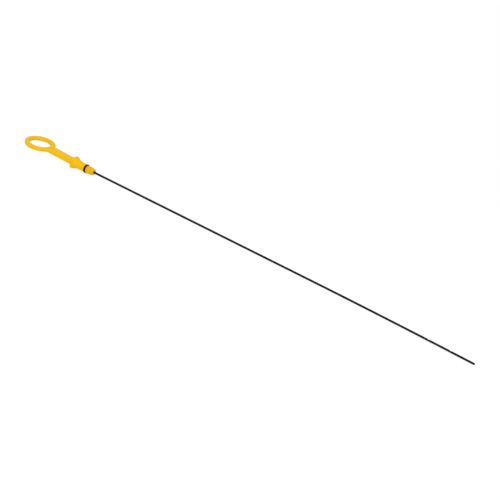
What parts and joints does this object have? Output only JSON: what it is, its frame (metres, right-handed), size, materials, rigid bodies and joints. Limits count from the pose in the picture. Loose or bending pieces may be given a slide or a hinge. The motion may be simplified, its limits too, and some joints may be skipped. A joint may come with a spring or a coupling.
{
  "type": "engine oil dipstick",
  "caption": "Oil dipstick: a moulded finger-ring handle with stop collar and tapered sealing plug on a long thin measuring wire.",
  "frame": {"origin": "on the plug axis, at the middle of the plain land on the nose that guides the plug in the dipstick tube", "axes": "+X along the plug axis towards the tip of the wire; the pull ring lies flat, with its faces towards +Z and -Z; Y runs across the ring"},
  "size_m": [0.63, 0.0348, 0.0122],
  "materials": {
    "handle": "satin yellow moulded plastic",
    "seal": "very dark brown, almost black, smooth rubber",
    "rod": "satin black coated steel wire"
  },
  "bodies": {
    "root": {"handle": "handle", "seal": "seal", "rod": "rod"}
  },
  "joints": []
}
